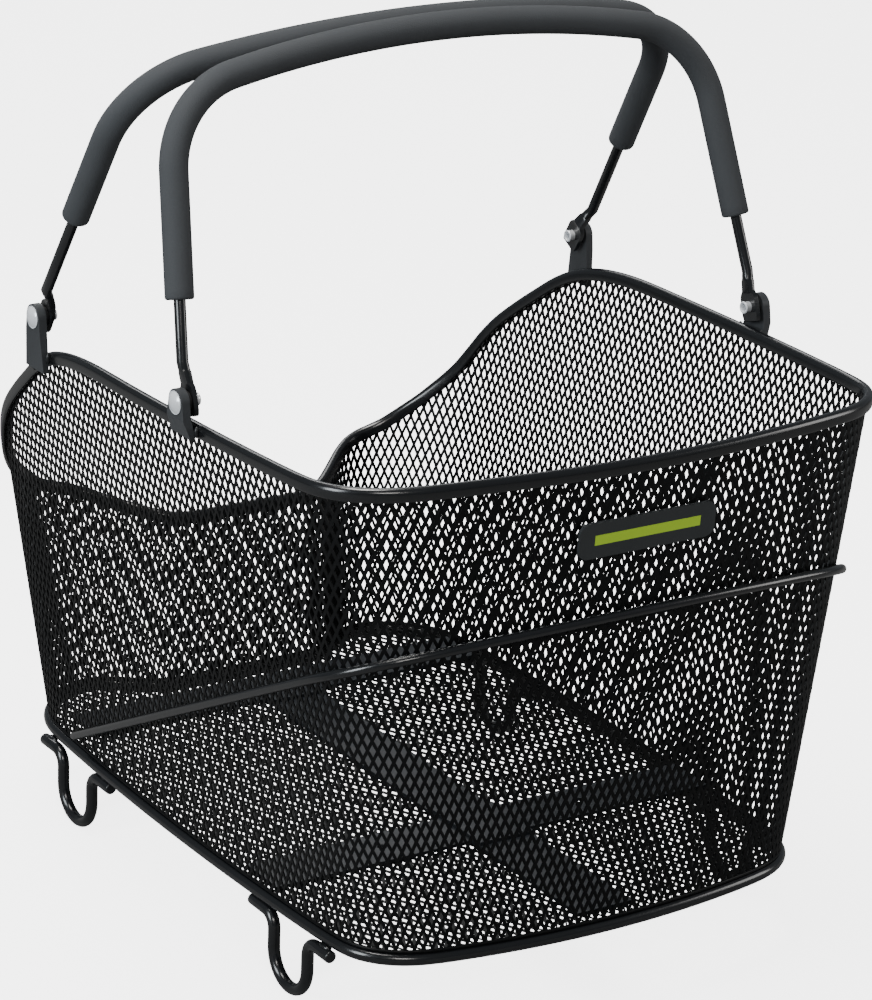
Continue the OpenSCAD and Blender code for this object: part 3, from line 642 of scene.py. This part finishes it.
wall_panel("mesh_front_lattice", -SIDE_START, SIDE_START, ("mesh_front",))
wall_panel("mesh_right_lattice", SIDE_START, SIDE_END, ("mesh_right",))
wall_panel("mesh_left_lattice", LOOP - SIDE_END, LOOP - SIDE_START, ("mesh_left",))
wall_panel("mesh_rear_lattice", SIDE_END, LOOP - SIDE_END, ("mesh_rear",))

# Floor sheet: width of a diamond across, thickness, how far its edge stays inside the middle of the
# floor wire, and the bolts with the radius that each takes from the cells.
FLOOR_PITCH = 5.9
FLOOR_SHEET = 1.5
FLOOR_EDGE = 0.9
BOLT_X, BOLT_Y = (-62, 62), (-82, 130)
BOLT_CLEAR = 3.8


def floor_lattice():
    """The floor sheet, cut to the floor outline; the long way of the diamonds runs along Y."""
    a, b = FLOOR_PITCH, PITCH_UP
    edge = floor_loop[:, :2] - FLOOR_EDGE * units(np.cross(tangents(floor_loop), (0, 0, 1)))[:, :2]

    def inside(p):
        x, y = p[..., 0], p[..., 1]
        hit = np.zeros(x.shape, bool)
        for (x0, y0), (x1, y1) in zip(edge[::4], np.roll(edge[::4], -1, 0)):
            cross = ((y0 > y) != (y1 > y)) & (x < (x1 - x0) * (y - y0) / (y1 - y0 + 1e-12) + x0)
            hit ^= cross
        return hit

    def place(pts, out):
        p = np.stack([pts[..., 0] * a, pts[..., 1] * b], -1)
        flat = p.reshape(-1, 2)
        outside = ~inside(flat)
        for i in np.nonzero(outside)[0]:
            flat[i] = edge[np.argmin(((edge - flat[i]) ** 2).sum(1))]
        p = flat.reshape(p.shape)
        z = SHEET_LOW + FLOOR_SHEET / 2 + out * 0.9
        return np.concatenate([p, z[..., None]], -1)

    columns_out = math.ceil(2 * (FLOOR["half"] + FLOOR["bow"]) / a)
    rows_out = math.ceil(2 * (FLOOR["front"] + FLOOR["front_bow"]) / b)
    cells = np.array([(i / 2, j / 2) for i in range(-columns_out, columns_out + 1)
                      for j in range(-rows_out, rows_out) if (i + j) % 2 == 0], float)
    centre = np.stack([cells[:, 0] * a, cells[:, 1] * b], -1)
    keep = inside(centre)
    for x in BOLT_X:
        for y in BOLT_Y:
            keep &= np.hypot(centre[:, 0] - x, centre[:, 1] - y) > BOLT_CLEAR

    def beyond(pts):
        return np.where(inside(np.stack([pts[..., 0] * a, pts[..., 1] * b], -1)), 0, 1)

    verts, faces = lattice(cells[keep], place, beyond, a, b)
    return add_lattice("mesh_floor_lattice", verts, faces, ("mesh_floor",))


floor_lattice()

# Hem where the wall sheet is folded under the floor sheet.
HEM_R, HEM_UP, HEM_OUT = 0.95, 0.9, 0.35
hem_loop = floor_loop + np.array([0, 0, SHEET_LOW + HEM_UP - FRAME_R])
hem_out = units(np.cross(tangents(floor_loop), (0, 0, 1)))
v, f = sweep(hem_loop + HEM_OUT * hem_out, HEM_R, 8, closed=True)
add_mesh("mesh_hem", v, f, mesh_paint)


# ---------- straps, brackets, spacers and badge keep their CAD shape ----------

def finish_cad(name, material, bevel, angle=35):
    """Gives a CAD node its material and rounds its edges a little."""
    o = nodes[name]
    o.data.materials.clear()
    o.data.materials.append(material)
    o.data.polygons.foreach_set("use_smooth", [True] * len(o.data.polygons))
    o.data.set_sharp_from_angle(angle=math.radians(angle))
    m = o.modifiers.new("edge", "BEVEL")
    m.width = bevel * MM
    m.segments = 3
    m.limit_method = "ANGLE"
    m.angle_limit = math.radians(angle)
    m.harden_normals = True


for n in ("strap_front", "strap_rear", "strap_centre"):
    finish_cad(n, strap_paint, 0.5)
for n in nodes:
    if n.startswith("bracket"):
        finish_cad(n, bracket_paint, 0.7)
    if n.startswith("spacer"):
        finish_cad(n, plastic, 0.3)
finish_cad("badge", badge_paint, 0.4)
stripe_on(badge_paint, half_w=0.031, half_h=0.0026, z0=0.21314, x0=-0.0035, colour=(0.50, 0.80, 0.03))
finish_cad("badge_clip", plastic, 0.2)


# ---------- rivets ----------

FRONT_PIVOT = (173.0, -62.6, 265.4)
REAR_PIVOT = (168.6, 95.8, 262.4)
BRACKET_T, SPACER_T, TAB_T, RIVET_R = 4.4, 2.2, 2.5, 3.0
# Gap on each side of the tab, and how far the rivet's tail stands past it.
TAB_GAP, TAIL = 0.06, 3.6
# Radius and height of the domed head.
HEAD_R, HEAD_H = 6.0, 2.4


def lathe(profile, centre, sign, sides=40):
    """Turns (distance along X, radius) pairs round the X axis through centre."""
    t = np.arange(sides) * 2 * math.pi / sides
    verts = []
    for x, r in profile:
        for a in t:
            verts.append((centre[0] + sign * x, centre[1] + r * math.cos(a), centre[2] + r * math.sin(a)))
    faces = ring_faces(len(profile), sides, False)
    faces.append(tuple(reversed(range(sides))))
    faces.append(tuple((len(profile) - 1) * sides + j for j in range(sides)))
    if sign < 0:
        faces = [f[::-1] for f in faces]
    return np.array(verts), [tuple(reversed(f)) for f in faces]


def rivet_profile():
    """From the bottom of the tail's bore, round the rolled rim, along the shank and over the head."""
    end = -(SPACER_T + TAB_T + 2 * TAB_GAP + TAIL)
    pts = [(end + 6.5, 0.02), (end + 6.5, 1.9), (end + 0.7, 2.05), (end + 0.2, 2.3), (end, 2.7),
           (end + 0.15, 3.15), (end + 0.6, 3.35), (end + 0.95, 3.2), (end + 1.3, RIVET_R),
           (BRACKET_T, RIVET_R), (BRACKET_T + 0.05, 5.7), (BRACKET_T + 0.25, 5.95), (BRACKET_T + 0.6, 5.92)]
    dome = (HEAD_R**2 + HEAD_H**2) / (2 * HEAD_H)
    for r in (5.5, 5.0, 4.3, 3.5, 2.7, 1.9, 1.1):
        pts.append((BRACKET_T + HEAD_H - dome + math.sqrt(dome**2 - r**2), r))
    # The turning mark in the middle of the head.
    pts.append((BRACKET_T + HEAD_H - dome + math.sqrt(dome**2 - 0.4**2) - 0.1, 0.4))
    pts.append((BRACKET_T + HEAD_H - 0.14, 0.02))
    return pts


for place, pivot in (("front", FRONT_PIVOT), ("rear", REAR_PIVOT)):
    for side, sx in (("left", -1), ("right", 1)):
        v, f = lathe(rivet_profile(), (sx * pivot[0], pivot[1], pivot[2]), sx)
        add_mesh(f"rivet_turned_{place}_{side}", v, f, zinc, smooth=35,
                 replaces=(f"rivet_{place}_{side}",))


# ---------- handles and grips ----------

ROD_R, GRIP_R, BEND_R, ARCH_R = 3.0, 7.3, 49.5, 640.0
# Rounding of the grip's ends, and the gaps between rod and bore inside the grip and at its mouths.
GRIP_EDGE, BORE_GAP, MOUTH_GAP = 1.3, 0.12, 0.25
TAB_W, TAB_TOP, TAB_LOW = 12.6, 13.0, 8.0
TAB_IN = SPACER_T + TAB_GAP + TAB_T / 2
# Height above the pivot where the tab has become the round rod.
ROD_START = TAB_TOP + 6
# Height above the pivot where the rod begins to step from the tab out to the leg.
JOG_FROM = 10.0


class Handle:
    """One handle, drawn upright in its own plane with the pivots at height zero."""

    def __init__(self, pivot, leg_x, tilt, height, lean, toward, grip_from):
        self.pivot, self.leg_x, self.tilt = pivot, leg_x, tilt
        self.height, self.lean, self.toward = height, lean, toward
        self.grip_from = grip_from
        self.tab_x = pivot[0] - TAB_IN

    def half_path(self, start, bend_steps=16, arch_steps=12):
        """Right half of the middle line from a height on the leg to the top."""
        th = math.radians(self.tilt)
        d = np.array([-math.sin(th), math.cos(th)])
        arch_z = self.height - ARCH_R
        s = np.array([self.leg_x - BEND_R * math.cos(th), -BEND_R * math.sin(th) - arch_z])
        dot = s @ d
        leg = -dot + math.sqrt(dot**2 - s @ s + (ARCH_R - BEND_R) ** 2)
        mid = s + leg * d
        end = math.degrees(math.atan2(mid[1], mid[0]))
        pts = [np.array([self.leg_x, 0]) + t * d for t in np.linspace(start, leg, 6)[:-1]]
        for a in np.linspace(self.tilt, end, bend_steps + 1)[:-1]:
            pts.append(np.array([mid[0] + BEND_R * math.cos(math.radians(a)),
                                 mid[1] + arch_z + BEND_R * math.sin(math.radians(a))]))
        for a in np.linspace(end, 90, arch_steps + 1):
            pts.append(np.array([ARCH_R * math.cos(math.radians(a)),
                                 arch_z + ARCH_R * math.sin(math.radians(a))]))
        return np.array(pts)

    def path(self, start):
        """Middle line from one leg to the other, from the given height on each."""
        right = self.half_path(start)
        left = right[-2::-1] * np.array([-1, 1])
        xz = np.vstack([right, left])
        return np.column_stack([xz[:, 0], np.zeros(len(xz)), xz[:, 1]])

    def placed(self, v):
        """From the upright plane to the place and lean at rest."""
        y, z = v[:, 1] * self.toward, v[:, 2]
        a = math.radians(self.lean) * self.toward
        y, z = y * math.cos(a) + z * math.sin(a), z * math.cos(a) - y * math.sin(a)
        return np.column_stack([v[:, 0], y + self.pivot[1], z + self.pivot[2]])


def rod_mesh(h, sides=24):
    """The rod with its flattened, rounded tabs."""
    path = h.path(ROD_START)
    d = directions(path)
    y = np.array([0.0, 1.0, 0.0])
    t = np.arange(sides) * 2 * math.pi / sides
    c, s = np.cos(t), np.sin(t)
    square = np.maximum(np.abs(c), np.abs(s))
    leg_x = h.leg_x - ROD_START * math.sin(math.radians(h.tilt))

    def tab_ring(side, z, w, thick, blend):
        # blend 0 is the flat tab, 1 the round rod
        ry = (c / square * w / 2) * (1 - blend) + c * ROD_R * blend
        rx = (s / square * thick / 2) * (1 - blend) + s * ROD_R * blend
        shift = max((z - JOG_FROM) / (ROD_START - JOG_FROM), 0)
        centre_x = h.tab_x * (1 - shift) + leg_x * shift
        return np.column_stack([side * (centre_x + rx), ry, np.full(sides, z)])

    # Height, width, thickness and share of the round rod, from the flat end upwards.
    rows = [(-TAB_LOW, 9.6, 1.9, 0), (-TAB_LOW + 0.4, 10.8, TAB_T, 0), (-TAB_LOW + 1.4, 11.6, TAB_T, 0),
            (-TAB_LOW + 3.2, TAB_W, TAB_T, 0), (TAB_TOP - 8.5, TAB_W, TAB_T, 0),
            (TAB_TOP - 6.4, 11.0, 2.6, 0.02),
            (TAB_TOP - 5.2, 8.6, 2.9, 0.10), (TAB_TOP - 4.2, 8.0, 3.3, 0.28), (TAB_TOP + 0.6, 7.4, 4.0, 0.46),
            (TAB_TOP + 1.5, 5.6, 4.2, 0.60), (TAB_TOP + 2.4, 5.0, 4.6, 0.78), (TAB_TOP + 3.6, 5.2, 5.0, 0.92)]
    right = [tab_ring(1, *r) for r in rows]
    left = [tab_ring(-1, *r) for r in rows]
    rod = [p + ROD_R * (c[:, None] * y + s[:, None] * np.cross(y, along)) for p, along in zip(path, d)]
    rings = right + rod + left[::-1]
    m = len(rings)
    faces = ring_faces(m, sides, False)
    faces.append(tuple(reversed(range(sides))))
    faces.append(tuple((m - 1) * sides + j for j in range(sides)))
    return h.placed(np.vstack(rings)), faces


def grip_mesh(h, sides=32):
    """The foam tube: outer skin with rounded ends, then the bore."""
    fine = spline(h.path(h.grip_from), 2, closed=False)
    n = len(fine)
    d = directions(fine)
    y = np.array([0.0, 1.0, 0.0])
    t = np.arange(sides) * 2 * math.pi / sides
    rings = []

    def ring(i, r, back=0.0):
        c = fine[i] + d[i] * back
        return c + r * (np.cos(t)[:, None] * y + np.sin(t)[:, None] * np.cross(y, d[i]))

    e = GRIP_EDGE
    for a in (0, 30, 60, 90):
        s, c = math.sin(math.radians(a)), math.cos(math.radians(a))
        rings.append(ring(0, GRIP_R - e + e * s, e * (1 - c)))
    for i in range(1, n - 1):
        rings.append(ring(i, GRIP_R))
    for a in (90, 60, 30, 0):
        s, c = math.sin(math.radians(a)), math.cos(math.radians(a))
        rings.append(ring(n - 1, GRIP_R - e + e * s, -e * (1 - c)))
    rings.append(ring(n - 1, ROD_R + MOUTH_GAP))
    for i in range(n - 2, 0, -1):
        rings.append(ring(i, ROD_R + BORE_GAP))
    rings.append(ring(0, ROD_R + MOUTH_GAP))
    return h.placed(np.vstack(rings)), ring_faces(len(rings), sides, True)


handles = {
    "front": Handle(FRONT_PIVOT, leg_x=172.4, tilt=6.0, height=164.9, lean=17.9, toward=1, grip_from=49.0),
    "rear": Handle(REAR_PIVOT, leg_x=170.9, tilt=2.6, height=184.8, lean=30.1, toward=-1, grip_from=72.0),
}
for name, h in handles.items():
    v, f = rod_mesh(h)
    add_mesh(f"handle_rod_{name}", v, f, rod_paint, smooth=35, replaces=(f"handle_{name}",),
             body=f"{name}_handle")
    v, f = grip_mesh(h)
    add_mesh(f"grip_sleeve_{name}", v, f, foam, smooth=50, replaces=(f"grip_{name}",),
             body=f"{name}_handle")


# ---------- weld beads at the bracket feet ----------

# Distance from the pivot along the rim, distance out of the rim's middle, height and half axes.
BEAD_Y, BEAD_OUT, BEAD_Z = 9.6, 3.3, -0.2
BEAD_AXES = np.diag([1.5, 1.4, 3.0])


def rim_near(y, sx):
    """Point of the rim's side at a place along Y."""
    side = rim_loop[SIDE_START * FINE : SIDE_END * FINE]
    return side[np.argmin(np.abs(side[:, 1] - y))] * np.array([sx, 1, 1])


beads = []
for pivot in (FRONT_PIVOT, REAR_PIVOT):
    for sx in (-1, 1):
        for k, dy in enumerate((-BEAD_Y, BEAD_Y)):
            c = rim_near(pivot[1] + dy, sx)
            beads.append(blob((c[0] + sx * BEAD_OUT, pivot[1] + dy, c[2] + BEAD_Z), BEAD_AXES, 31 + k))
v, f = joined(beads)
add_mesh("weld_beads", v, f, weld_paint)


# ---------- stage ----------

# Brightness of the ground and the backdrop as the camera sees them, and of the light they give.
GROUND_GLOW = 4.0
BACK_GLOW = 5.0
AMBIENT = 0.18


def seen_and_lit(tree, seen, lit):
    """Mixes two shaders: what the camera sees directly, and what lights the object."""
    path = tree.nodes.new("ShaderNodeLightPath")
    mix = tree.nodes.new("ShaderNodeMixShader")
    tree.links.new(path.outputs["Is Camera Ray"], mix.inputs["Fac"])
    tree.links.new(lit, mix.inputs[1])
    tree.links.new(seen, mix.inputs[2])
    return mix.outputs["Shader"]


def ground_material():
    """A pale floor to look at that throws only a little light back on the object."""
    mat = bpy.data.materials.new("ground_paint")
    mat.use_nodes = True
    t = mat.node_tree
    t.nodes.clear()
    out = t.nodes.new("ShaderNodeOutputMaterial")
    matt = t.nodes.new("ShaderNodeBsdfDiffuse")
    matt.inputs["Color"].default_value = (0.9, 0.9, 0.9, 1)
    glow = t.nodes.new("ShaderNodeEmission")
    glow.inputs["Strength"].default_value = GROUND_GLOW
    both = t.nodes.new("ShaderNodeAddShader")
    t.links.new(matt.outputs[0], both.inputs[0])
    t.links.new(glow.outputs[0], both.inputs[1])
    dim = t.nodes.new("ShaderNodeBsdfDiffuse")
    dim.inputs["Color"].default_value = (0.22, 0.22, 0.22, 1)
    t.links.new(seen_and_lit(t, both.outputs[0], dim.outputs[0]), out.inputs["Surface"])
    return mat


floor_level = cad_low.z
bpy.ops.mesh.primitive_plane_add(size=14, location=(0, 0, floor_level))
ground = bpy.context.object
ground.name = "ground"
ground.data.materials.append(ground_material())

world = bpy.data.worlds.new("studio")
bpy.context.scene.world = world
world.use_nodes = True
wt = world.node_tree
seen = wt.nodes["Background"]
seen.inputs["Color"].default_value = (1, 1, 1, 1)
seen.inputs["Strength"].default_value = BACK_GLOW
lit = wt.nodes.new("ShaderNodeBackground")
lit.inputs["Color"].default_value = (0.86, 0.93, 1.0, 1)
lit.inputs["Strength"].default_value = AMBIENT
wt.links.new(seen_and_lit(wt, seen.outputs[0], lit.outputs[0]), wt.nodes["World Output"].inputs["Surface"])


def area(name, location, target, size, power, colour=(1, 1, 1)):
    """A rectangular studio light; places and sizes in metres."""
    light = bpy.data.lights.new(name, "AREA")
    light.shape = "RECTANGLE"
    light.size, light.size_y = size
    light.energy = power
    light.color = colour
    obj = bpy.data.objects.new(name, light)
    bpy.context.scene.collection.objects.link(obj)
    obj.location = location
    obj.rotation_mode = "QUATERNION"
    obj.rotation_quaternion = (Vector(target) - Vector(location)).to_track_quat("-Z", "Y")
    return obj


area("left_box", (-2.2, -0.2, 1.0), (0, 0, 0.2), (0.8, 1.2), 38, (0.90, 0.96, 1.0))
area("top_box", (-0.3, 0.3, 2.4), (0, 0, 0.2), (1.4, 0.7), 48, (1.0, 0.98, 0.95))
area("front_box", (-1.4, -2.6, 1.9), (0, 0, 0.2), (1.0, 0.6), 24, (1.0, 0.97, 0.93))
area("right_box", (2.0, -1.2, 0.9), (0, 0, 0.15), (0.8, 1.2), 13, (1.0, 0.98, 0.96))
area("back_box", (0.8, 2.3, 1.9), (0, 0, 0.2), (2.0, 0.5), 12)

# The camera looks along forward at aim, in the CAD frame in metres.
CAMERA_DISTANCE = 2.1965
camera_data = bpy.data.cameras.new("camera")
camera = bpy.data.objects.new("camera", camera_data)
bpy.context.scene.collection.objects.link(camera)
aim = Vector((0.01483, -0.0234, 0.10009))
forward = Vector((0.50947165, 0.7779404, -0.36775995))
right_dir = Vector((0.84360848, -0.53579837, 0.03528226))
up_dir = Vector((0.16959768, 0.32822072, 0.92925119))
camera.matrix_world = Matrix.Translation(aim - forward * CAMERA_DISTANCE) @ Matrix(
    (right_dir, up_dir, -forward)).transposed().to_4x4()
camera_data.sensor_width = 36
camera_data.lens = 147.914
camera_data.shift_x = 0.00753
camera_data.shift_y = 0.09326
camera_data.clip_start, camera_data.clip_end = 0.1, 60
bpy.context.scene.camera = camera
